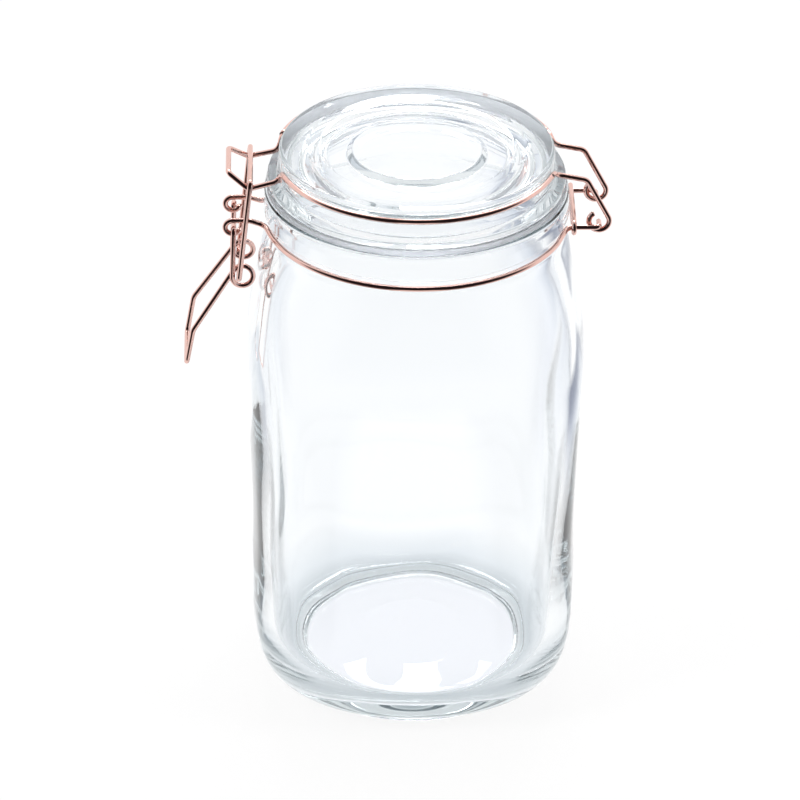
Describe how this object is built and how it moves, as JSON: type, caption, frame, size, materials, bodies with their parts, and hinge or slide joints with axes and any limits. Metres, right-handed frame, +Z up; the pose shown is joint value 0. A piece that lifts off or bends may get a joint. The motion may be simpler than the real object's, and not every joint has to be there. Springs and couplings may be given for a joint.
{
  "type": "clip-top jar",
  "caption": "Square-shouldered clear glass storage jar with a clip-top glass lid, seal and rose-gold wire latch.",
  "frame": {"origin": "on the jar's axis, in the plane of the foot that the jar stands on", "axes": "+Z up along the jar's axis, -X towards the latch and its handle, +X towards the lid's hinge"},
  "size_m": [0.1493, 0.1196, 0.2085],
  "materials": {
    "clear_glass": "gloss",
    "seal": "satin",
    "plated_wire": "polished"
  },
  "bodies": {
    "jar": {"jar_body": "clear_glass", "seal_ring": "seal", "lid_glass": "clear_glass", "neck_wire_front": "plated_wire", "neck_wire_back": "plated_wire", "ring_tie": "plated_wire", "lid_wire": "plated_wire"},
    "lever": {"lever": "plated_wire"},
    "link": {"link": "plated_wire"}
  },
  "joints": [
    {"name": "lever_pivot", "type": "hinge", "parent": "jar", "child": "lever", "pos_m": [-0.06375, 0, 0.18085], "axis": [0, 1, 0], "range_deg": [0, 95]},
    {"name": "link_pivot", "type": "hinge", "parent": "lever", "child": "link", "pos_m": [-0.062, 0, 0.1621], "axis": [0, 1, 0], "range_deg": [-52, 0]}
  ],
  "couplings": [
    {"joint": "link_pivot", "follows": "lever_pivot", "ratio": -0.536}
  ]
}
